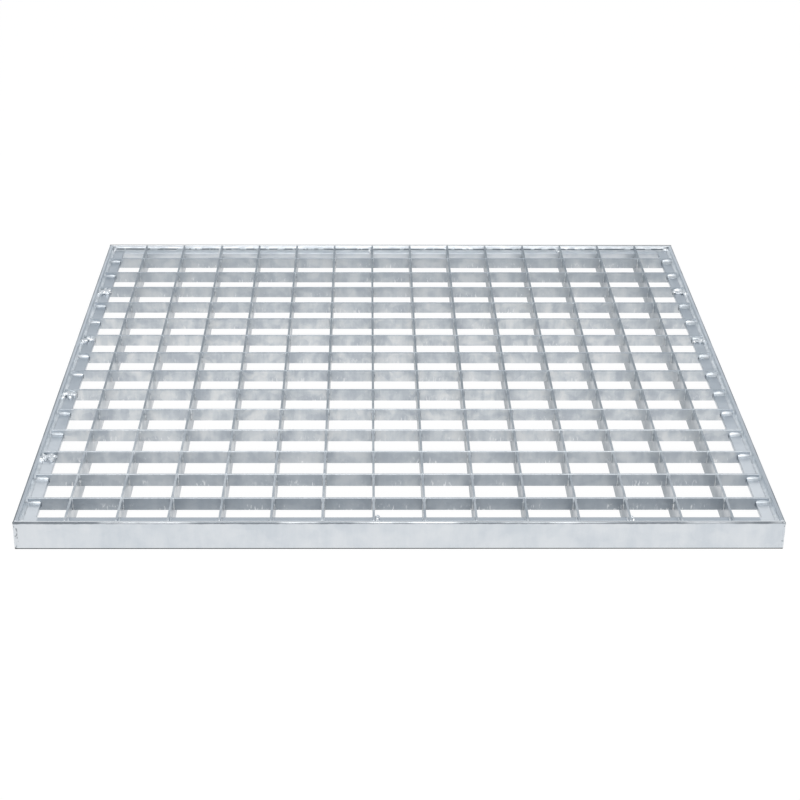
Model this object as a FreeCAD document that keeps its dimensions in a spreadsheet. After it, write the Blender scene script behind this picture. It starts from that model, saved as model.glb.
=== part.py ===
"""Galvanised steel grating, 500 x 500 x 20 mm, with a 15 x 15 mesh of pressed flat bars.

The bearing bars run front to back and the shallower cross bars left to right. Both are
slotted and pressed into each other, with their top edges flush. A border of rolled T
section lies around them with its stem inwards: the stem is a ledge just under the top,
and all bars take it in a slot at each end. The four border lengths meet in mitres, and
short welds tie some of the bars to the ledge.

Frame: millimetres, Z up, origin at the middle of the underside. The front is -Y.
"""
import FreeCAD, Part
import os

import Sketcher

SIZES = {
    # mesh
    "cell_pitch": 33.3333333,
    "cells_across": 15,
    "cells_deep": 15,
    "grating_height": 20,
    # flat bars
    "bearing_thickness": 1.5,
    "cross_thickness": 1.5,
    "cross_depth": 9,
    "lap_depth": 5,
    "fit_clearance": 0.05,
    # border section
    "border_wall": 3,
    "ledge_drop": 3.5,
    "ledge_thickness": 3,
    "ledge_reach": 13.3,
    "rim_radius": 1.1,
    "foot_radius": 0.8,
    "ledge_edge_radius": 0.5,
    "corner_flat": 1.6,
    # how far the bars stop from the border wall
    "bearing_end_gap": 0.1,
    "cross_end_gap": 1.6,
    # welds
    "weld_length": 9,
    "weld_leg": 5,
    "weld_height": 2.6,
    "flat_weld_height": 1.6,
    "bar_weld_leg": 3,
    "corner_weld_leg": 4.5,
    "corner_weld_height": 2.8,
    "weld_spacing": 3,
}

# Worked-out sizes, as expressions of the sheet
ACROSS = "Sizes.cells_across * Sizes.cell_pitch"
DEEP = "Sizes.cells_deep * Sizes.cell_pitch"
LEDGE_TOP = "Sizes.grating_height - Sizes.ledge_drop"
LEDGE_UNDER = "Sizes.grating_height - Sizes.ledge_drop - Sizes.ledge_thickness"

doc = FreeCAD.newDocument("Grating")
sheet = doc.addObject("Spreadsheet::Sheet", "Sizes")
for row, (alias, value) in enumerate(SIZES.items(), start=1):
    sheet.set(f"A{row}", alias)
    sheet.set(f"B{row}", str(value))
    sheet.setAlias(f"B{row}", alias)
doc.recompute()

pieces = []


def size(alias):
    """The number that the sheet holds for a size."""
    return float(sheet.get(alias))


def new_body(label):
    body = doc.addObject("PartDesign::Body", label)
    body.Label = label
    pieces.append(body)
    return body


def new_sketch(body, plane, name):
    """A sketch on one of the body's own origin planes."""
    sketch = body.newObject("Sketcher::SketchObject", name)
    origin_plane = next(f for f in body.Origin.OriginFeatures if f.Role == plane)
    sketch.AttachmentSupport = [(origin_plane, "")]
    sketch.MapMode = "FlatFace"
    return sketch


def evaluate(owner, rule):
    return float(owner.evalExpression(rule))


def draw_outline(sketch, corners):
    """A closed outline whose corners are pairs of expressions of the sheet."""
    count = len(corners)
    doc.recompute()
    # The lines start anywhere apart from each other; the constraints move them into place
    for number in range(count):
        start = FreeCAD.Vector(number, number * number, 0)
        end = FreeCAD.Vector(number + 1, (number + 1) * (number + 1), 0)
        sketch.addGeometry(Part.LineSegment(start, end), False)
    for number, (across, up) in enumerate(corners):
        before = (number - 1) % count
        sketch.addConstraint(Sketcher.Constraint("Coincident", before, 2, number, 1))
        for kind, name, rule in (("DistanceX", "across", across), ("DistanceY", "up", up)):
            place = evaluate(sketch, rule)
            index = sketch.addConstraint(Sketcher.Constraint(kind, -1, 1, number, 1, place))
            sketch.renameConstraint(index, f"{name}_{number + 1}")
            sketch.setExpression(f"Constraints.{name}_{number + 1}", rule)


def pad(body, sketch, name, length):
    """A pad to both sides of its sketch."""
    feature = body.newObject("PartDesign::Pad", name)
    feature.Profile = sketch
    feature.SideType = "Symmetric"
    feature.setExpression("Length", length)
    return feature


def cut_through(body, sketch, name):
    """A pocket through everything, to both sides of its sketch."""
    feature = body.newObject("PartDesign::Pocket", name)
    feature.Profile = sketch
    feature.Type = "ThroughAll"
    feature.SideType = "Symmetric"
    return feature


def repeat(body, feature, sketch, name, count, spacing):
    """A row of one feature along the horizontal axis of its sketch."""
    row = body.newObject("PartDesign::LinearPattern", name)
    row.Originals = [feature]
    row.Direction = (sketch, ["H_Axis"])
    row.setExpression("Length", f"({count} - 1) * ({spacing})")
    row.setExpression("Occurrences", count)
    body.Tip = row
    return row


def place(piece, across="0", deep="0", up="0", turn=0, upright=False):
    """Bind a piece's place to the sheet and turn it about Z, its own Y axis up if upright."""
    rotation = FreeCAD.Rotation(FreeCAD.Vector(0, 0, 1), turn)
    if upright:
        rotation = rotation * FreeCAD.Rotation(FreeCAD.Vector(1, 0, 0), 90)
    piece.Placement.Rotation = rotation
    for axis, rule in (("x", across), ("y", deep), ("z", up)):
        piece.setExpression(f"Placement.Base.{axis}", rule)


def copy_of(master, label):
    """A body that repeats another body's shape."""
    body = new_body(label)
    base = body.newObject("PartDesign::FeatureBase", f"{label}_base")
    base.BaseFeature = master
    base.Placement = FreeCAD.Placement()
    body.Tip = base
    return body


def build_bearing_bar(label):
    """Full-height bar: end slots over the border ledge, a row of slots in its top edge."""
    body = new_body(label)
    half = f"({DEEP}) / 2"
    end = f"{half} - Sizes.border_wall - Sizes.bearing_end_gap"
    seat = f"{half} - Sizes.ledge_reach - Sizes.fit_clearance"
    under = f"{LEDGE_UNDER} - Sizes.fit_clearance"
    over = f"{LEDGE_TOP} + Sizes.fit_clearance"
    top = "Sizes.grating_height"
    outline = new_sketch(body, "YZ_Plane", f"{label}_outline")
    draw_outline(outline, [
        (f"-({end})", "0"), (end, "0"),
        (end, under), (seat, under), (seat, over), (end, over),
        (end, top), (f"-({end})", top),
        (f"-({end})", over), (f"-({seat})", over), (f"-({seat})", under), (f"-({end})", under),
    ])
    pad(body, outline, f"{label}_strip", "Sizes.bearing_thickness")

    first = f"Sizes.cell_pitch - {half}"
    reach = "(Sizes.cross_thickness / 2 + Sizes.fit_clearance)"
    slot = new_sketch(body, "YZ_Plane", f"{label}_slot")
    draw_outline(slot, rectangle(f"{first} - {reach}", f"{first} + {reach}",
                                 f"{top} - Sizes.lap_depth", f"{top} + Sizes.lap_depth"))
    cut = cut_through(body, slot, f"{label}_slot_cut")
    repeat(body, cut, slot, f"{label}_slots", "Sizes.cells_deep - 1", "Sizes.cell_pitch")
    return body


def build_cross_bar(label):
    """Shallow bar: end slots that sit on the border ledge, a row of slots in its lower edge."""
    body = new_body(label)
    half = f"({ACROSS}) / 2"
    end = f"{half} - Sizes.border_wall - Sizes.cross_end_gap"
    seat = f"{half} - Sizes.ledge_reach - Sizes.fit_clearance"
    under = f"{LEDGE_UNDER} - Sizes.fit_clearance"
    top = "Sizes.grating_height"
    low = f"{top} - Sizes.cross_depth"
    outline = new_sketch(body, "XZ_Plane", f"{label}_outline")
    draw_outline(outline, [
        (f"-({end})", low), (end, low),
        (end, under), (seat, under), (seat, LEDGE_TOP), (end, LEDGE_TOP),
        (end, top), (f"-({end})", top),
        (f"-({end})", LEDGE_TOP), (f"-({seat})", LEDGE_TOP), (f"-({seat})", under), (f"-({end})", under),
    ])
    pad(body, outline, f"{label}_strip", "Sizes.cross_thickness")

    first = f"Sizes.cell_pitch - {half}"
    reach = "(Sizes.bearing_thickness / 2 + Sizes.fit_clearance)"
    slot = new_sketch(body, "XZ_Plane", f"{label}_slot")
    draw_outline(slot, rectangle(f"{first} - {reach}", f"{first} + {reach}",
                                 f"{low} - Sizes.lap_depth", f"{top} - Sizes.lap_depth"))
    cut = cut_through(body, slot, f"{label}_slot_cut")
    repeat(body, cut, slot, f"{label}_slots", "Sizes.cells_across - 1", "Sizes.cell_pitch")
    return body


def rectangle(left, right, low, high):
    return [(left, low), (right, low), (right, high), (left, high)]


def long_edges(shape, rule):
    """Names of the edges along X whose middle point passes the rule."""
    names = []
    for number, edge in enumerate(shape.Edges, start=1):
        span = edge.BoundBox
        if span.XLength > span.YLength + span.ZLength and rule(edge.CenterOfMass):
            names.append(f"Edge{number}")
    return names


def round_edges(body, base, name, edges, radius):
    feature = body.newObject("PartDesign::Fillet", name)
    feature.Base = (base, edges)
    feature.setExpression("Radius", radius)
    doc.recompute()
    return feature


def build_border(label, length):
    """T section on its side, as long as its side of the grating, mitred at both ends."""
    body = new_body(label)
    wall, reach = "Sizes.border_wall", "Sizes.ledge_reach"
    top = "Sizes.grating_height"
    section = new_sketch(body, "YZ_Plane", f"{label}_section")
    draw_outline(section, [
        ("0", "0"), (wall, "0"), (wall, LEDGE_UNDER), (reach, LEDGE_UNDER),
        (reach, LEDGE_TOP), (wall, LEDGE_TOP), (wall, top), ("0", top),
    ])
    rolled = pad(body, section, f"{label}_rolled", length)
    doc.recompute()

    tiny = size("fit_clearance")
    height, ledge_tip = size("grating_height"), size("ledge_reach")
    rim = long_edges(body.Shape, lambda at: at.z > height - tiny)
    rounded = round_edges(body, rolled, f"{label}_rim", rim, "Sizes.rim_radius")
    foot = long_edges(body.Shape, lambda at: at.z < tiny)
    rounded = round_edges(body, rounded, f"{label}_foot", foot, "Sizes.foot_radius")
    edge = long_edges(body.Shape, lambda at: at.y > ledge_tip - tiny)
    round_edges(body, rounded, f"{label}_ledge_edge", edge, "Sizes.ledge_edge_radius")

    # Each end is cut at 45 degrees, with half of the corner's ground flat
    half, flat = f"({length}) / 2", "Sizes.corner_flat"
    for side, sign in (("left", "-1"), ("right", "1")):
        mitre = new_sketch(body, "XY_Plane", f"{label}_mitre_{side}")
        draw_outline(mitre, [
            (f"{sign} * ({half} - {flat} - {reach})", f"-{reach}"),
            (f"{sign} * ({half} - {flat} / 2)", f"{flat} / 2"),
            (f"{sign} * ({half} - 2 * {reach})", f"2 * {reach}"),
            (f"{sign} * ({half} + {reach})", f"2 * {reach}"),
            (f"{sign} * ({half} + {reach})", f"-{reach}"),
        ])
        cut_through(body, mitre, f"{label}_mitre_cut_{side}")
    return body


def build_bead(label, length, leg, height, square_end=False):
    """A weld bead on the ledge: flat against what it ties, sloping down on its other sides.

    A square end is flat as well, for a bead that stands in a corner.
    """
    bead = doc.addObject("Part::Wedge", label)
    bead.Label = label
    half = "0" if square_end else f"{length} / 2"
    slope = f"{leg} / 3"
    rules = {
        "Xmin": f"-({half})", "Xmax": f"{length} - ({half})",
        "X2min": "0" if square_end else f"{slope} - ({half})",
        "X2max": f"{length} - ({half}) - {slope}",
        "Zmin": "0", "Zmax": leg, "Z2min": "0", "Z2max": f"{leg} - {slope}",
        "Ymin": "0", "Ymax": height,
    }
    for name, rule in rules.items():
        bead.setExpression(name, rule)
    pieces.append(bead)
    return bead


cells_across = int(size("cells_across"))
cells_deep = int(size("cells_deep"))

bearing_bars = [build_bearing_bar("bearing_bar_01")]
for number in range(2, cells_across):
    bearing_bars.append(copy_of(bearing_bars[0], f"bearing_bar_{number:02d}"))
for number, bar in enumerate(bearing_bars, start=1):
    place(bar, across=f"{number} * Sizes.cell_pitch - {ACROSS} / 2")

cross_bars = [build_cross_bar("cross_bar_01")]
for number in range(2, cells_deep):
    cross_bars.append(copy_of(cross_bars[0], f"cross_bar_{number:02d}"))
for number, bar in enumerate(cross_bars, start=1):
    place(bar, deep=f"{number} * Sizes.cell_pitch - {DEEP} / 2")

place(build_border("border_front", ACROSS), deep=f"-({DEEP}) / 2")
place(build_border("border_back", ACROSS), deep=f"{DEEP} / 2", turn=180)
place(build_border("border_left", DEEP), across=f"-({ACROSS}) / 2", turn=-90)
place(build_border("border_right", DEEP), across=f"{ACROSS} / 2", turn=90)

# Beads on the side ledges, against the front of every third cross bar
ledge_middle = "(Sizes.border_wall + Sizes.ledge_reach) / 2"
spacing = int(size("weld_spacing"))
for side, sign, height, first in (
    ("left", "-1", "Sizes.weld_height", 1), ("right", "1", "Sizes.flat_weld_height", 3),
):
    for count, bar in enumerate(range(first * spacing, cells_deep, spacing), start=1):
        place(
            build_bead(f"weld_{side}_{count}", "Sizes.weld_length", "Sizes.weld_leg", height),
            f"{sign} * (({ACROSS}) / 2 - {ledge_middle})",
            f"{bar} * Sizes.cell_pitch - ({DEEP}) / 2 - Sizes.cross_thickness / 2",
            LEDGE_TOP, 0, upright=True,
        )

# Beads on the back and front ledges, against one side of a few bearing bars
for side, sign, bars, face, turn in (
    ("back", "1", (3, 7, 12), "-1", -90), ("front", "-1", (7, 12), "1", 90),
):
    for count, bar in enumerate(bars, start=1):
        middle = f"{bar} * Sizes.cell_pitch - ({ACROSS}) / 2"
        place(
            build_bead(f"weld_{side}_{count}", "Sizes.weld_length", "Sizes.bar_weld_leg",
                       "Sizes.weld_height"),
            f"{middle} + {face} * Sizes.bearing_thickness / 2",
            f"{sign} * (({DEEP}) / 2 - {ledge_middle})",
            LEDGE_TOP, turn, upright=True,
        )

# A bead in each inner corner of the border
for name, across_sign, deep_sign, turn in (
    ("front_left", "-1", "-1", 90), ("front_right", "1", "-1", 180),
    ("back_right", "1", "1", 270), ("back_left", "-1", "1", 0),
):
    place(
        build_bead(f"weld_corner_{name}", "Sizes.corner_weld_leg", "Sizes.corner_weld_leg",
                   "Sizes.corner_weld_height", square_end=True),
        f"{across_sign} * (({ACROSS}) / 2 - Sizes.border_wall)",
        f"{deep_sign} * (({DEEP}) / 2 - Sizes.border_wall)",
        LEDGE_TOP, turn, upright=True,
    )

doc.recompute()

for item in doc.Objects:
    if "Invalid" in item.State or "Error" in item.State:
        raise RuntimeError(f"{item.Label} failed: {item.State}")
for piece in pieces:
    if piece.Shape.isNull() or not piece.Shape.isValid() or len(piece.Shape.Solids) != 1:
        raise RuntimeError(f"{piece.Label} is not one valid solid")

os.makedirs("parts", exist_ok=True)
for piece in pieces:
    piece.Shape.exportStep(f"parts/{piece.Label}.step")
print(f"{len(pieces)} pieces, {sum(piece.Shape.Volume for piece in pieces) / 1000:.1f} cm3")
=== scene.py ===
"""Looks of a hot-dip galvanised steel grating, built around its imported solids."""

import math
import random

import bmesh
import bpy
from mathutils import Matrix, Vector, noise


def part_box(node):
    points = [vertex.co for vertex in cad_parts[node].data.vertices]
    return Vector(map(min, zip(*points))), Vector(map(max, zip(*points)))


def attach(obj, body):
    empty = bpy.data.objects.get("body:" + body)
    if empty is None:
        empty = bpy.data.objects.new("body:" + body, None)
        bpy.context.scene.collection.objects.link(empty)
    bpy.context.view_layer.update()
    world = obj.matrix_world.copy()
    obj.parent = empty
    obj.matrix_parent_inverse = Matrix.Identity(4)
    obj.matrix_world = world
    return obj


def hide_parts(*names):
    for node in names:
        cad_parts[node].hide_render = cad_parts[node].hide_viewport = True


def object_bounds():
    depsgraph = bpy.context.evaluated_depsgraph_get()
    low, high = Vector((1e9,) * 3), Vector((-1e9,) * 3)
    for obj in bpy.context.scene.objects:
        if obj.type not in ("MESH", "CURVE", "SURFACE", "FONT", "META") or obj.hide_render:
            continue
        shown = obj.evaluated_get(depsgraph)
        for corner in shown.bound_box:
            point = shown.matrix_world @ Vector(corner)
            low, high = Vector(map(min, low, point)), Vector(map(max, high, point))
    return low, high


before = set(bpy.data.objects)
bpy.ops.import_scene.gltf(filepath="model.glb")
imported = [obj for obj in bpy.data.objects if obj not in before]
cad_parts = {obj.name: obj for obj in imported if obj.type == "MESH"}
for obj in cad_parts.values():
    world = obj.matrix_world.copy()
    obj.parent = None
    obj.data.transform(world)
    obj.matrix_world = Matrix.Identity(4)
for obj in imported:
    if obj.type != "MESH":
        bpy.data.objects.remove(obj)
CAD_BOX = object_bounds()
MM = 0.001


# Places read from the solids, in metres

def nodes_named(start):
    """The names of all solids that begin alike, in order."""
    return sorted(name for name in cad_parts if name.startswith(start))


def middle(node_name, axis):
    """The middle of a solid's box along an axis."""
    low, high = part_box(node_name)
    return (low[axis] + high[axis]) / 2


LOW, HIGH = Vector(CAD_BOX[0]), Vector(CAD_BOX[1])
TOP = HIGH.z
LEDGE_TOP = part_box("weld_left_1")[0][2]
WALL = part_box("weld_corner_front_left")[0][0] - LOW.x
LEDGE_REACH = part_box("border_front")[1][1] - LOW.y
BAR_HALF = (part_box("bearing_bar_01")[1][0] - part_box("bearing_bar_01")[0][0]) / 2
CROSS_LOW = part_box("cross_bar_01")[0][2]
CROSS_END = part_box("cross_bar_01")[1][0]
BEARING_X = [middle(name, 0) for name in nodes_named("bearing_bar_")]
CROSS_Y = [middle(name, 1) for name in nodes_named("cross_bar_")]

# The same places for the marks on the zinc, in millimetres from the middle or the ground

ACROSS, DEEP, UP = 0, 1, 2
OUTSIDE = HIGH.x / MM
WALL_FACE = OUTSIDE - WALL / MM
LEDGE_EDGE = OUTSIDE - LEDGE_REACH / MM
RIM = TOP / MM
LEDGE = LEDGE_TOP / MM


# Camera

def add_camera():
    """A long lens from the front, a little left of the middle, looking down by 26 degrees."""
    data = bpy.data.cameras.new("camera")
    data.sensor_width = 36.0
    data.lens = 82.48
    data.shift_x = 0.025
    data.clip_end = 50.0
    camera = bpy.data.objects.new("camera", data)
    heading = Matrix.Rotation(math.radians(-0.426), 4, "Z")
    pitch = Matrix.Rotation(math.radians(90 - 25.806), 4, "X")
    roll = Matrix.Rotation(math.radians(0.19), 4, "Z")
    camera.matrix_world = Matrix.Translation((-0.0206, -1.2808, 0.6063)) @ heading @ pitch @ roll
    bpy.context.scene.collection.objects.link(camera)
    bpy.context.scene.camera = camera


# Node helpers

def linear(code):
    """The linear colour of an sRGB hex value."""
    parts = [int(code[i:i + 2], 16) / 255 for i in (0, 2, 4)]
    return [p / 12.92 if p <= 0.04045 else ((p + 0.055) / 1.055) ** 2.4 for p in parts] + [1.0]


def node(tree, kind, links=(), **settings):
    """Adds a node, sets its properties or input values, and links its inputs."""
    new = tree.nodes.new(kind)
    for name, value in settings.items():
        if hasattr(new, name):
            setattr(new, name, value)
        else:
            new.inputs[name.replace("_", " ")].default_value = value
    for socket, source in dict(links).items():
        tree.links.new(source, new.inputs[socket])
    return new


def weighted_sum(tree, parts):
    """The sum of several values, each times its weight."""
    total = None
    for source, weight in parts:
        links = {0: source} if total is None else {0: source, 2: total}
        term = node(tree, "ShaderNodeMath", links, operation="MULTIPLY_ADD")
        term.inputs[1].default_value = weight
        if total is None:
            term.inputs[2].default_value = 0.0
        total = term.outputs[0]
    return total


def product(tree, first, second):
    """Two values multiplied."""
    return node(tree, "ShaderNodeMath", {0: first, 1: second}, operation="MULTIPLY").outputs[0]


def larger(tree, first, second):
    """The larger of two values."""
    return node(tree, "ShaderNodeMath", {0: first, 1: second}, operation="MAXIMUM").outputs[0]


def remap(tree, source, low, high, to_low, to_high):
    """A smooth step of a value from one range to another."""
    step = node(tree, "ShaderNodeMapRange", {0: source}, interpolation_type="SMOOTHSTEP")
    for index, value in enumerate((low, high, to_low, to_high), start=1):
        step.inputs[index].default_value = value
    return step.outputs[0]


def grows(tree, source, start, end, most=1.0):
    """Nothing up to the start of a range, and the most from its end on."""
    return remap(tree, source, start, end, 0.0, most)


def fades(tree, source, start, end, most=1.0):
    """The most up to the start of a range, and nothing from its end on."""
    return remap(tree, source, start, end, most, 0.0)


def in_millimetres(tree, upright=1.0):
    """The object's coordinates; heights times less than one draw a pattern out downwards."""
    place = node(tree, "ShaderNodeTexCoord").outputs["Object"]
    scaled = node(tree, "ShaderNodeMapping", {"Vector": place})
    scaled.inputs["Scale"].default_value = (1 / MM, 1 / MM, upright / MM)
    return scaled.outputs[0]


def along_axis(tree, axis):
    """A point's place along an axis, in millimetres."""
    return node(tree, "ShaderNodeSeparateXYZ", {0: in_millimetres(tree)}).outputs[axis]


def from_middle(tree, axis):
    """A point's distance from the grating's middle along an axis, in millimetres."""
    return node(tree, "ShaderNodeMath", {0: along_axis(tree, axis)}, operation="ABSOLUTE").outputs[0]


def patches(tree, place, size, detail, **settings):
    """Soft noise with patches of a size in millimetres."""
    return node(tree, "ShaderNodeTexNoise", {"Vector": place}, Scale=1 / size, Detail=detail,
                **settings).outputs[0]


def scattered_dots(tree, place, apart, inner, outer, strength):
    """Small dots about so many millimetres apart, fading between two shares of that distance."""
    cells = node(tree, "ShaderNodeTexVoronoi", {"Vector": place}, Scale=1 / apart)
    return fades(tree, cells.outputs["Distance"], inner, outer, strength)


def blend(tree, share, below, colour):
    """A colour laid over another by a share."""
    mixed = node(tree, "ShaderNodeMix", {0: share, 6: below}, data_type="RGBA")
    mixed.inputs[7].default_value = linear(colour)
    return mixed.outputs[2]


def empty_material(name):
    """A material without nodes, and its tree."""
    material = bpy.data.materials.new(name)
    material.use_nodes = True
    material.node_tree.nodes.clear()
    return material, material.node_tree


# Materials

def galvanised(name, dark, mid, pale, rough, cloud=16.0, weights=(0.5, 0.2, 0.15, 0.15),
               specks=0.5, waviness=0.6, marks=()):
    """Hot-dip zinc on steel: dull metal with frosty clouds, drain marks and faint crystals.

    The clouds are soft patches like those of a coating with uneven crystals, and cloud is their
    size in millimetres. The drain marks stand for liquid zinc that ran off downwards. Specks are
    small nibs of dross that catch light, and small pits. The weights are those of clouds, drain
    marks, crystals and frost. Waviness is the height of the whole pattern in millimetres. Each
    mark is a place on the piece with another colour laid over, and that colour; most marks are
    painted light and shade.
    """
    material, tree = empty_material(name)
    in_mm = in_millimetres(tree)
    downwards = in_millimetres(tree, 0.16)

    clouds = patches(tree, in_mm, cloud, 3.0, Roughness=0.55, Distortion=0.4)
    drains = patches(tree, downwards, 4.5, 3.0, Roughness=0.6)
    frost = patches(tree, in_mm, 1.6, 4.0, Roughness=0.7)
    spangle = node(tree, "ShaderNodeTexVoronoi", {"Vector": in_mm}, Scale=1 / 8.0)
    crystal = node(tree, "ShaderNodeSeparateColor", {0: spangle.outputs["Color"]}).outputs[0]
    tone = weighted_sum(tree, [
        (grows(tree, clouds, 0.3, 0.7), weights[0]), (grows(tree, drains, 0.3, 0.7), weights[1]),
        (crystal, weights[2]), (frost, weights[3]),
    ])
    ramp = node(tree, "ShaderNodeValToRGB", {0: tone})
    ramp.color_ramp.elements[0].position = 0.2
    ramp.color_ramp.elements[0].color = linear(dark)
    ramp.color_ramp.elements[1].position = 0.8
    ramp.color_ramp.elements[1].color = linear(pale)
    ramp.color_ramp.elements.new(0.5).color = linear(mid)

    nibs = scattered_dots(tree, in_mm, 5.0, 0.05, 0.12, specks)
    pits = scattered_dots(tree, downwards, 11.0, 0.03, 0.07, specks)
    colour = blend(tree, nibs, ramp.outputs[0], pale)
    colour = blend(tree, pits, colour, dark)
    for place, mark_colour in marks:
        colour = blend(tree, place(tree), colour, mark_colour)

    height = weighted_sum(tree, [
        (clouds, 1.0), (drains, 0.35), (frost, 0.08), (nibs, 0.25), (pits, -0.3),
    ])
    bump = node(tree, "ShaderNodeBump", {"Height": height}, Strength=0.6, Distance=waviness * MM)
    smoothest, dullest = rough
    roughness = remap(tree, tone, 0.2, 0.8, dullest, smoothest)
    shader = node(tree, "ShaderNodeBsdfPrincipled", {
        "Base Color": colour, "Roughness": roughness, "Normal": bump.outputs[0],
    }, Metallic=1.0)
    node(tree, "ShaderNodeOutputMaterial", {0: shader.outputs[0]})
    return material


# The marks below hold tones that were fitted to the photo, place by place. Most of them are painted light:
# painted shade and painted highlights laid into the zinc's colour, so they suit that one view and light
# best.
# Each gives the share of its colour at a point.

def rim_edge_painted_shade(tree):
    """Painted shade on the rounded outer edge of the rim: a thin wavy dark line, the dark reflection along
    that edge.
    """
    in_mm = in_millimetres(tree)
    wave = patches(tree, in_mm, 5.0, 3.0)
    wavy_height = weighted_sum(tree, [(along_axis(tree, UP), 1.0), (wave, 1.0)])
    outwards = larger(tree, from_middle(tree, ACROSS), from_middle(tree, DEEP))
    line = product(tree, grows(tree, wavy_height, RIM - 0.85, RIM - 0.5),
                   grows(tree, outwards, OUTSIDE - 1.35, OUTSIDE - 0.95))
    return product(tree, line, remap(tree, patches(tree, in_mm, 30.0, 2.0), 0.35, 0.6, 0.4, 0.9))


def foot_painted_shadow(tree):
    """The thin dark line along the foot, painted shade: the contact shadow and dark reflection at the foot.
    """
    return fades(tree, along_axis(tree, UP), 0.75, 1.2)


def front_and_back_rim_painted_highlight(tree):
    """The narrow top of the front and back rim, nearly white: a painted highlight."""
    return product(tree, grows(tree, from_middle(tree, DEEP), WALL_FACE - 0.4, WALL_FACE),
                   grows(tree, along_axis(tree, UP), RIM - 1.0, RIM - 0.5))


def side_rims_painted_shade(tree):
    """The narrow top of the side rims, a little darker than their walls: painted shade."""
    return product(tree, grows(tree, from_middle(tree, ACROSS), WALL_FACE - 0.6, WALL_FACE - 0.1),
                   grows(tree, along_axis(tree, UP), RIM - 1.2, RIM - 0.6, 0.6))


def ledge_top(tree):
    """The top of the ledge all round; not a mark itself, but a part of the next ones."""
    height = along_axis(tree, UP)
    return product(tree, grows(tree, height, LEDGE - 0.5, LEDGE - 0.1),
                   fades(tree, height, LEDGE + 0.2, LEDGE + 0.7))


def side_ledge_tops(tree):
    """The top of the ledge on the left and the right, without the front and back walls."""
    beside = product(tree, grows(tree, from_middle(tree, ACROSS), LEDGE_EDGE - 1.7, LEDGE_EDGE - 0.1),
                     fades(tree, from_middle(tree, DEEP), WALL_FACE - 1.0, WALL_FACE))
    return product(tree, ledge_top(tree), beside)


def side_ledges_painted_shade(tree):
    """The top of the side ledges, darker away from the front: painted shade."""
    return product(tree, side_ledge_tops(tree), grows(tree, along_axis(tree, DEEP), -190.0, -20.0, 0.65))


def front_corner_ledges_painted_light(tree):
    """The side ledges' front ends, paler: painted light."""
    return product(tree, side_ledge_tops(tree), fades(tree, along_axis(tree, DEEP), -215.0, -90.0, 0.9))


def front_ledge_painted_shade(tree):
    """The top of the front ledge, a darker strip behind the rim: painted shade."""
    behind_rim = product(tree, grows(tree, along_axis(tree, DEEP), -WALL_FACE, -WALL_FACE + 0.5),
                         fades(tree, along_axis(tree, DEEP), -LEDGE_EDGE + 2.7, -LEDGE_EDGE + 6.7))
    return product(tree, ledge_top(tree), behind_rim)


def front_rows_painted_shade(tree):
    """The foremost cross bars, darker: painted shade."""
    return fades(tree, along_axis(tree, DEEP), -230.0, -70.0, 0.85)


def back_rows_painted_shade(tree):
    """The hindmost cross bars, a little darker: painted shade."""
    return grows(tree, along_axis(tree, DEEP), 80.0, 170.0, 0.45)


def painted_highlight_tops(tree):
    """The front cross bars' top edges, a paler line: a painted highlight."""
    return product(tree, grows(tree, along_axis(tree, UP), RIM - 0.7, RIM - 0.3, 0.5),
                   fades(tree, along_axis(tree, DEEP), -145.0, -70.0))


def painted_shade_tops(tree):
    """The other cross bars' top edges, a darker line: painted shade."""
    return product(tree, grows(tree, along_axis(tree, UP), RIM - 0.7, RIM - 0.3),
                   grows(tree, along_axis(tree, DEEP), -110.0, -50.0, 0.7))


def drips(tree):
    """Small pale flecks low on the cross bars; they look like zinc that dripped off."""
    drawn_out = in_millimetres(tree, 0.35)
    spots = product(tree, grows(tree, patches(tree, drawn_out, 1.5, 2.0), 0.56, 0.66),
                    grows(tree, patches(tree, drawn_out, 20.0, 1.0), 0.45, 0.6))
    return product(tree, spots, fades(tree, along_axis(tree, UP), RIM - 7.5, RIM - 3.0, 0.8))


def lower_sides_painted_shade(tree):
    """The lower part of the bearing bars' sides, darkest on the right half: painted shade."""
    return product(tree, remap(tree, along_axis(tree, UP), 6.0, RIM - 0.5, 1.0, 0.35),
                   remap(tree, along_axis(tree, ACROSS), -80.0, 100.0, 0.35, 1.0))


def bearing_tops_painted_shade(tree):
    """The bearing bars' top edges, darker towards the back: painted shade."""
    return product(tree, grows(tree, along_axis(tree, UP), RIM - 0.6, RIM - 0.2),
                   remap(tree, along_axis(tree, DEEP), -200.0, 0.0, 0.1, 0.75))


def back_edge_painted_shade(tree):
    """The far edge of the back rim, a thin dark line of painted shade against the light ground."""
    return product(tree, grows(tree, along_axis(tree, DEEP), OUTSIDE - 2.4, OUTSIDE - 1.9),
                   grows(tree, along_axis(tree, UP), RIM - 2.0, RIM - 1.0, 0.9))


def back_foot_painted_shade(tree):
    """A broken dark line of painted shade at the foot of the back wall."""
    breaks = patches(tree, in_millimetres(tree), 5.0, 2.0)
    height = along_axis(tree, UP)
    band = product(tree, grows(tree, height, LEDGE + 0.3, LEDGE + 0.6),
                   fades(tree, height, LEDGE + 1.0, LEDGE + 1.4))
    band = product(tree, band, grows(tree, along_axis(tree, DEEP), WALL_FACE - 5.0, WALL_FACE - 3.0))
    return product(tree, band, remap(tree, breaks, 0.4, 0.5, 0.2, 0.9))


def corner_pits(tree):
    """Small dark pits down each corner; the photo shows them at the front right one only."""
    spots = patches(tree, in_millimetres(tree, 0.4), 1.4, 2.0)
    corner = product(tree, grows(tree, from_middle(tree, ACROSS), WALL_FACE - 0.4, WALL_FACE + 0.6),
                     grows(tree, from_middle(tree, DEEP), WALL_FACE - 0.4, WALL_FACE + 0.6))
    return product(tree, corner, grows(tree, spots, 0.56, 0.64, 0.8))


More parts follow.
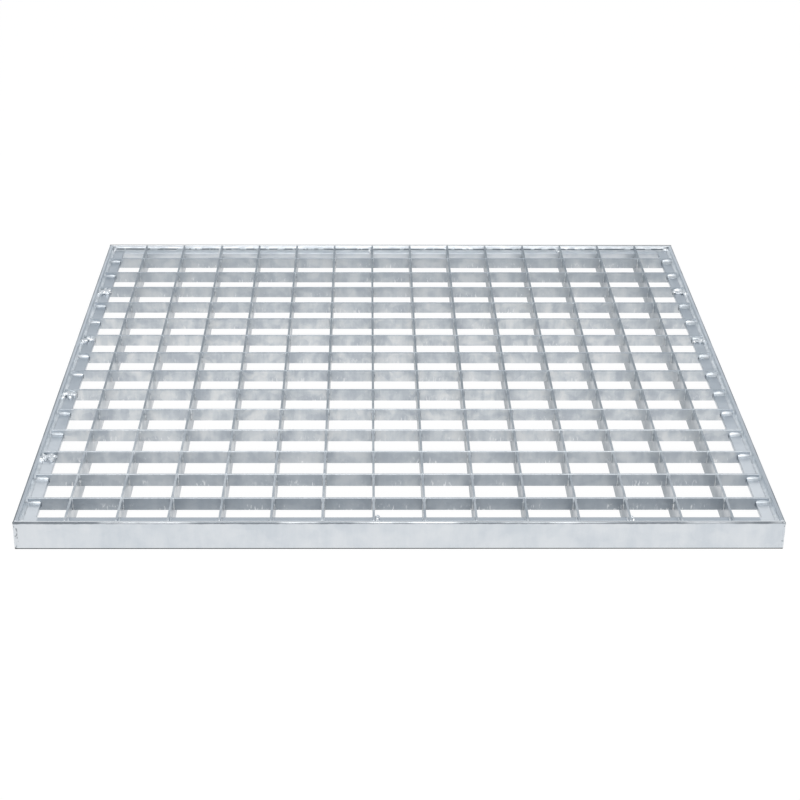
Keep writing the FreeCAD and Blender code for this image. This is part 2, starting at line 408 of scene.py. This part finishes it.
def white_ground():
    """Matt white paper, seen as white but with a faint trace of the object's shadow."""
    material, tree = empty_material("white_ground")
    path = node(tree, "ShaderNodeLightPath")
    seen = larger(tree, path.outputs["Is Camera Ray"], path.outputs["Is Glossy Ray"])
    seen = larger(tree, seen, path.outputs["Is Transmission Ray"])
    share = node(tree, "ShaderNodeMath", {0: seen}, operation="MULTIPLY")
    share.inputs[1].default_value = 0.95
    paper = node(tree, "ShaderNodeBsdfDiffuse", Color=linear("f4f4f4"))
    glow = node(tree, "ShaderNodeEmission", Color=(1, 1, 1, 1), Strength=1.02)
    both = node(tree, "ShaderNodeMixShader", {0: share.outputs[0], 1: paper.outputs[0], 2: glow.outputs[0]})
    node(tree, "ShaderNodeOutputMaterial", {0: both.outputs[0]})
    return material


# Stage

def add_stage():
    """White floor, a studio sky that is white near the horizon and dimmer above, a softbox."""
    bm = bmesh.new()
    bmesh.ops.create_grid(bm, x_segments=1, y_segments=1, size=6.0)
    floor = mesh_object("floor", bm, white_ground())
    just_below = LOW.z - 0.02 * MM
    floor.data.transform(Matrix.Translation((0, 0, just_below)))

    world = bpy.data.worlds.new("studio")
    bpy.context.scene.world = world
    world.use_nodes = True
    tree = world.node_tree
    tree.nodes.clear()
    way = node(tree, "ShaderNodeTexCoord").outputs["Generated"]
    rise = node(tree, "ShaderNodeSeparateXYZ", {0: way}).outputs[UP]
    strength = remap(tree, rise, 0.5, 0.62, 1.0, 0.62)
    light = node(tree, "ShaderNodeBackground", {"Strength": strength}, Color=linear("eef3f8"))
    node(tree, "ShaderNodeOutputWorld", {0: light.outputs[0]})

    add_softbox("overhead", spot=(0.0, -0.75, 1.35), target=(0, 0, 0), side=1.1, power=9.5)


def add_softbox(name, spot, target, side, power):
    """A square area lamp, aimed at a target."""
    data = bpy.data.lights.new(name, "AREA")
    data.shape = "SQUARE"
    data.size = side
    data.energy = power
    lamp = bpy.data.objects.new(name, data)
    aim = (Vector(target) - Vector(spot)).to_track_quat("-Z", "Y")
    lamp.matrix_world = Matrix.Translation(spot) @ aim.to_matrix().to_4x4()
    bpy.context.scene.collection.objects.link(lamp)


# Ways of making pieces

def mesh_object(name, bm, material):
    """Turns a bmesh into an object of the scene."""
    mesh = as_template(name, bm)
    mesh.materials.append(material)
    piece = bpy.data.objects.new(name, mesh)
    bpy.context.scene.collection.objects.link(piece)
    return piece


def add_piece(name, bm, material, stands_for=()):
    """A smooth piece of the object, held inside the solids' own box."""
    for vert in bm.verts:
        for axis in range(3):
            vert.co[axis] = min(max(vert.co[axis], LOW[axis]), HIGH[axis])
    bmesh.ops.recalc_face_normals(bm, faces=bm.faces)
    for face in bm.faces:
        face.smooth = True
    piece = mesh_object(name, bm, material)
    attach(piece, "root")
    if stands_for:
        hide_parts(*stands_for)
    return piece


def as_template(name, bm):
    """Turns a bmesh into a mesh and frees it."""
    mesh = bpy.data.meshes.new(name)
    bm.to_mesh(mesh)
    bm.free()
    return mesh


def copy_into(bm, source, matrix):
    """Adds a placed copy of a template mesh to a bmesh."""
    before = len(bm.verts)
    bm.from_mesh(source)
    bm.verts.ensure_lookup_table()
    bmesh.ops.transform(bm, matrix=matrix, verts=bm.verts[before:])


def placed(spot, turn, scale):
    """The matrix that scales a template, turns it about Z and moves it to a spot."""
    stretch = Matrix.Diagonal((*scale, 1.0))
    return Matrix.Translation(spot) @ Matrix.Rotation(turn, 4, "Z") @ stretch


def fillet_template(steps, cuts, end_size=1.0):
    """A hollow corner fillet, 1 m along X, with legs of 1 m along +Y and +Z, smaller at its ends."""
    bm = bmesh.new()
    bmesh.ops.create_vert(bm, co=(0, 1, 0))
    bmesh.ops.spin(bm, geom=bm.verts[:], cent=(0, 1, 1), axis=(1, 0, 0), dvec=(0, 0, 0),
                   angle=-math.pi / 2, steps=steps, use_duplicate=False)
    arc = sorted(bm.verts, key=lambda vert: vert.co.z)
    corner = bmesh.ops.create_vert(bm, co=(0, 0, 0))["vert"][0]
    outline = bm.edges[:] + [bm.edges.new((corner, arc[0])), bm.edges.new((corner, arc[-1]))]
    end = bmesh.ops.contextual_create(bm, geom=outline)["faces"]
    grown = bmesh.ops.extrude_face_region(bm, geom=end)["geom"]
    far = [part for part in grown if isinstance(part, bmesh.types.BMVert)]
    bmesh.ops.translate(bm, vec=(1, 0, 0), verts=far)
    if cuts:
        along = [edge for edge in bm.edges if abs(edge.verts[0].co.x - edge.verts[1].co.x) > 0.5]
        bmesh.ops.subdivide_edges(bm, edges=along, cuts=cuts)
    for vert in bm.verts:
        share_along = min(max(vert.co.x, 0.0), 1.0)
        swell = end_size + (1 - end_size) * math.sqrt(math.sin(math.pi * share_along))
        vert.co.yz = vert.co.yz * swell
    bmesh.ops.recalc_face_normals(bm, faces=bm.faces)
    return as_template("fillet_template", bm)


def bead_template(subdivisions):
    """A ball with a radius of 1 m."""
    bm = bmesh.new()
    bmesh.ops.create_icosphere(bm, subdivisions=subdivisions, radius=1.0)
    return as_template("bead_template", bm)


def uneven(bm, depth, size, seed):
    """Moves a surface in and out like cooled zinc; depth and size are in millimetres."""
    bm.normal_update()
    for vert in bm.verts:
        push = noise.noise(vert.co / (size * MM) + Vector((seed * 7.1, seed * 3.3, seed)))
        ripple = noise.noise(vert.co / (size * 0.4 * MM) + Vector((seed, seed * 5.7, 2.0)))
        vert.co += vert.normal * (push + 0.4 * ripple) * depth * MM


def cut_flat(bm, spot, away):
    """Cuts off what lies past a plane and closes the cut."""
    geom = bm.verts[:] + bm.edges[:] + bm.faces[:]
    cut = bmesh.ops.bisect_plane(bm, geom=geom, plane_co=spot, plane_no=away, clear_outer=True)
    rim = [part for part in cut["geom_cut"] if isinstance(part, bmesh.types.BMEdge)]
    if rim:
        bmesh.ops.contextual_create(bm, geom=rim)


# The solids

def dress_solids(finishes):
    """Gives every bar and border length its zinc and soft edges, whose width is in millimetres."""
    for start, material, edge in finishes:
        for name in nodes_named(start):
            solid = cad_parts[name]
            solid.data.materials.clear()
            solid.data.materials.append(material)
            joined = solid.modifiers.new("joined", "WELD")
            joined.merge_threshold = 0.002 * MM
            soft = solid.modifiers.new("soft_edges", "BEVEL")
            soft.width = edge * MM
            soft.segments = 3
            soft.limit_method = "ANGLE"
            soft.angle_limit = math.radians(50)
            soft.harden_normals = True


# Welds

SUNK = 0.6 * MM     # how far a weld goes down into the ledge


def weld_cluster(name, lumps, planes, seed, material):
    """Several lumps grown together, cut flat inside the steel that they sit on."""
    bm = bmesh.new()
    for number, (spot, size) in enumerate(lumps):
        lump = bmesh.new()
        bmesh.ops.create_icosphere(lump, subdivisions=4, radius=1.0)
        bmesh.ops.scale(lump, vec=size, verts=lump.verts)
        uneven(lump, 0.45, 1.8, seed * 11 + number)
        bmesh.ops.translate(lump, vec=spot, verts=lump.verts)
        for plane_spot, away in planes:
            cut_flat(lump, plane_spot, away)
        part = as_template("lump", lump)
        bm.from_mesh(part)
        bpy.data.meshes.remove(part)
    piece = add_piece(name + "_bead", bm, material, stands_for=(name,))
    grown = piece.modifiers.new("grown_together", "REMESH")
    grown.mode = "VOXEL"
    grown.voxel_size = 0.22 * MM
    grown.use_smooth_shade = True


def add_corner_welds(zinc, rng):
    """A small heap of weld metal in each inner corner of the border."""
    for seed, name in enumerate(nodes_named("weld_corner_"), start=30):
        side_x = math.copysign(1, middle(name, ACROSS))
        side_y = math.copysign(1, middle(name, DEEP))
        planes = [
            ((0, 0, LEDGE_TOP - SUNK), (0, 0, -1)),
            ((side_x * (HIGH.x - WALL / 2), 0, 0), (side_x, 0, 0)),
            ((0, side_y * (HIGH.y - WALL / 2), 0), (0, side_y, 0)),
        ]
        lumps = []
        for _ in range(6):
            inwards = Vector((rng.uniform(0.1, 4.0), rng.uniform(0.1, 3.2), rng.uniform(0, 1.2))) * MM
            spot = (side_x * (HIGH.x - WALL - inwards.x), side_y * (HIGH.y - WALL - inwards.y),
                    LEDGE_TOP + inwards.z)
            size = (rng.uniform(1.3, 2.1) * MM, rng.uniform(1.3, 2.1) * MM, rng.uniform(1.0, 1.7) * MM)
            lumps.append((spot, size))
        weld_cluster(name, lumps, planes, seed, zinc)


def bar_weld_lumps(low, high, face, towards_bar, along, rng):
    """Lumps along a bar's face, within the weld's box; those on the side ledges are larger."""
    span = high - low
    on_side = along.x > 0
    length, depth = (span.x, span.y) if on_side else (span.y, span.x)
    radius = (1.5, 2.4) if on_side else (1.0, 1.5)
    farthest_out = 1.5 if on_side else 0.6
    tallness = (0.6, 0.85) if on_side else (0.35, 0.55)
    count = rng.choice((5, 7, 9)) if on_side else 6
    lumps = []
    for step in range(count):
        share = (step + 0.5 + rng.uniform(-0.3, 0.3)) / count
        out = rng.uniform(0.2, farthest_out) * depth
        spot = face + along * length * share - towards_bar * out
        spot.z += rng.uniform(0.1, 0.5) * span.z
        wide = [rng.uniform(*radius) * MM, rng.uniform(*radius) * MM]
        lumps.append((spot, (*wide, span.z * rng.uniform(*tallness))))
    return lumps


def wall_foot_lumps(face, side, rng):
    """A tail of three lumps from a bar's weld along the foot of the wall."""
    foot = math.copysign(HIGH.x - WALL - 1.0 * MM, side)
    lumps = []
    for away in (4.0, 6.0, 8.0):
        spot = Vector((foot, face.y - away * MM, LEDGE_TOP + rng.uniform(0.2, 0.6) * MM))
        lumps.append((spot, [rng.uniform(1.2, 1.8) * MM] * 3))
    return lumps


def add_bar_welds(zinc, rng):
    """A row of lumps along the face of each bar that is welded to the ledge."""
    for seed, name in enumerate(nodes_named("weld_"), start=1):
        if "corner" in name:
            continue
        low, high = Vector(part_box(name)[0]), Vector(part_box(name)[1])
        on_side = "left" in name or "right" in name
        if on_side:
            face = Vector((low.x, high.y, LEDGE_TOP))
            towards_bar, along = Vector((0, 1, 0)), Vector((1, 0, 0))
        else:
            sign = 1 if "back" in name else -1
            face = Vector((high.x if sign > 0 else low.x, low.y, LEDGE_TOP))
            towards_bar, along = Vector((sign, 0, 0)), Vector((0, 1, 0))
        planes = [
            ((0, 0, LEDGE_TOP - SUNK), (0, 0, -1)), (face + towards_bar * BAR_HALF, towards_bar),
        ]
        lumps = bar_weld_lumps(low, high, face, towards_bar, along, rng)
        if on_side:
            lumps += wall_foot_lumps(face, low.x, rng)
        weld_cluster(name, lumps, planes, seed, zinc)


def add_corner_seams(zinc):
    """The ground weld down each outer corner of the border."""
    radius = 1.0 * MM
    for number, (side_x, side_y) in enumerate(((-1, -1), (1, -1), (1, 1), (-1, 1))):
        bm = bmesh.new()
        bmesh.ops.create_cone(bm, cap_ends=True, segments=16, radius1=radius, radius2=radius,
                              depth=TOP - LOW.z - 0.6 * MM)
        upright = [edge for edge in bm.edges if abs(edge.verts[0].co.z - edge.verts[1].co.z) > MM]
        bmesh.ops.subdivide_edges(bm, edges=upright, cuts=24)
        uneven(bm, 0.2, 1.6, number + 20)
        spot = (side_x * (HIGH.x - radius), side_y * (HIGH.y - radius), (TOP + LOW.z) / 2)
        bmesh.ops.translate(bm, vec=spot, verts=bm.verts)
        side = ("front" if side_y < 0 else "back") + ("_left" if side_x < 0 else "_right")
        add_piece(f"corner_seam_{side}", bm, zinc)


# Zinc that set in corners

def add_crossing_zinc(zinc, rng):
    """Zinc left in the four corners of every crossing, one piece for each cross bar."""
    fillet = fillet_template(3, 0)
    drop = bead_template(2)
    standing = Matrix(((0, 1, 0, 0), (0, 0, 1, 0), (1, 0, 0, 0), (0, 0, 0, 1)))
    for number, y in enumerate(CROSS_Y, start=1):
        bm = bmesh.new()
        for x in BEARING_X:
            for side_x, side_y, turn in ((1, 1, 0), (-1, 1, 90), (-1, -1, 180), (1, -1, 270)):
                leg = rng.uniform(0.4, 0.9) * MM
                tall = TOP - CROSS_LOW - rng.uniform(0.2, 0.5) * MM
                spot = Vector((x + side_x * BAR_HALF, y + side_y * BAR_HALF, CROSS_LOW))
                copy_into(bm, fillet, placed(spot, math.radians(turn), (leg, leg, tall)) @ standing)
            if rng.random() < 0.4:
                size = rng.uniform(0.45, 0.8) * MM
                side_x = rng.choice((1, 1, -1))
                spot = Vector((x + side_x * (BAR_HALF + 0.2 * MM), y - BAR_HALF - 0.2 * MM,
                               TOP - size - rng.uniform(0.1, 3.0) * MM))
                copy_into(bm, drop, placed(spot, rng.uniform(0, 6), (size, size, size * 1.2)))
        uneven(bm, 0.08, 2.0, number)
        add_piece(f"zinc_in_crossings_{number:02d}", bm, zinc)


def ledge_fillet_legs(side, bar, rng):
    """How wide and tall the fillet beside a bar is; on the right it grows towards the back."""
    legs = (rng.uniform(1.9, 2.7) * MM, rng.uniform(1.3, 1.9) * MM)
    if side == "right":
        backwards = (bar - LOW.y) / (HIGH.y - LOW.y)
        legs = (rng.uniform(2.0, 2.6) * MM + 3.0 * MM * backwards,
                rng.uniform(1.4, 1.8) * MM + 1.4 * MM * backwards)
    if side in ("front", "back"):
        legs = (1.0 * MM, 1.0 * MM)
    return legs


def add_ledge_zinc(zinc, rng):
    """Zinc in the corners between the bars and the ledge, and along the foot of the wall."""
    short = fillet_template(8, 14, 0.35)
    long = fillet_template(8, 160)
    inner, wall = HIGH.x - LEDGE_REACH, HIGH.x - WALL
    corners = {
        "front": ((-wall, -wall), 0), "right": ((wall, -wall), math.pi / 2),
        "back": ((wall, wall), math.pi), "left": ((-wall, wall), -math.pi / 2),
    }
    for seed, (side, (corner, turn)) in enumerate(corners.items(), start=40):
        bm = bmesh.new()
        outwards = 1 if side in ("right", "back") else -1
        across = side in ("left", "right")
        end = CROSS_END if across else wall
        near, far = sorted((outwards * inner, outwards * end))
        for bar in CROSS_Y if across else BEARING_X:
            for face in (-1, 1):
                if across:
                    start = (near if face > 0 else far, bar + face * BAR_HALF, LEDGE_TOP)
                    bar_turn = 0 if face > 0 else math.pi
                else:
                    start = (bar + face * BAR_HALF, far if face > 0 else near, LEDGE_TOP)
                    bar_turn = -face * math.pi / 2
                legs = ledge_fillet_legs(side, bar, rng)
                copy_into(bm, short, placed(start, bar_turn, (end - inner, *legs)))
        root = (4.6 * MM, 2.6 * MM) if side == "back" else (2.4 * MM, 2.0 * MM)
        copy_into(bm, long, placed((*corner, LEDGE_TOP), turn, (2 * wall, *root)))
        uneven(bm, 0.14, 6.0, seed)
        add_piece(f"zinc_on_ledge_{side}", bm, zinc)


add_camera()
rng = random.Random(7)

# Broad faint clouds and few specks: the walls look even and pale beside the mottled bars.
# The border's marks paint shade on the rim edges, the side rims and ledges, the front ledge and the foot,
# and light on the front and back rim tops and on the side ledges' front ends.
zinc_border = galvanised("zinc_on_border", "d0d6dc", "d7dce1", "dde1e5", rough=(0.3, 0.38), cloud=24.0,
                         specks=0.3, waviness=0.2, marks=(
                             (front_ledge_painted_shade, "c4cad0"), (side_ledges_painted_shade, "aab1b8"),
                             (front_corner_ledges_painted_light, "f0f2f4"), (side_rims_painted_shade, "c4c9ce"),
                             (front_and_back_rim_painted_highlight, "fafbfc"), (rim_edge_painted_shade, "747a80"), (corner_pits, "80868b"),
                             (back_edge_painted_shade, "41464b"), (foot_painted_shadow, "33373b")))
# Duller and a little wavy: the narrow sides seen between the openings turn grey, not mirror-like.
# Its marks paint shade low on the sides, most on the right half, and on the top edges towards the back.
zinc_bearing = galvanised("zinc_on_bearing_bars", "c6ccd1", "d4d8dc", "e2e5e7", rough=(0.34, 0.46),
                          specks=0.4, waviness=0.5,
                          marks=((lower_sides_painted_shade, "98a0a7"), (bearing_tops_painted_shade, "8c949b")))
# Smaller and stronger clouds, with crystals: every cross bar shows its own mottling.
# Its marks paint shade on the front and back rows and on the top edges further back, and a highlight on the
# front rows' top edges.
zinc_cross = galvanised("zinc_on_cross_bars", "c6ccd3", "d6dbdf", "e5e7e8", rough=(0.34, 0.46), cloud=12.0,
                        weights=(0.45, 0.2, 0.22, 0.13), specks=0.5, waviness=0.4,
                        marks=((front_rows_painted_shade, "a3abb3"), (back_rows_painted_shade, "aab2b9"), (painted_highlight_tops, "eceff1"),
                               (painted_shade_tops, "a2aab1"), (drips, "eef0f2")))
# Paler and smoother: small glints in the corners of the crossings.
zinc_pooled = galvanised("pooled_zinc", "cbd0d4", "dde1e4", "eff1f2", rough=(0.3, 0.42), cloud=5.0,
                         specks=0.15, waviness=0.5)
# Pale but dull: soft fillets on the ledge without sparkle.
# Its one mark paints a broken line of shade at the foot of the back wall.
zinc_on_ledge = galvanised("zinc_set_on_ledge", "d2d7db", "dee2e5", "ebedef", rough=(0.4, 0.52),
                           cloud=9.0, specks=0.1, waviness=0.2, marks=((back_foot_painted_shade, "6f777e"),))
# The palest zinc, over lumpy metal: the welds stand out as bright knots.
zinc_on_welds = galvanised("zinc_over_welds", "dfe3e6", "edeff1", "fafbfb", rough=(0.3, 0.46),
                           cloud=3.0, specks=0.3, waviness=0.5)

dress_solids([
    ("border_", zinc_border, 0.3), ("bearing_bar_", zinc_bearing, 0.4), ("cross_bar_", zinc_cross, 0.4),
])
add_corner_welds(zinc_on_welds, rng)
add_bar_welds(zinc_on_welds, rng)
add_crossing_zinc(zinc_pooled, rng)
add_ledge_zinc(zinc_on_ledge, rng)
add_corner_seams(zinc_border)
add_stage()

scene = bpy.context.scene
scene.view_settings.view_transform = "Standard"
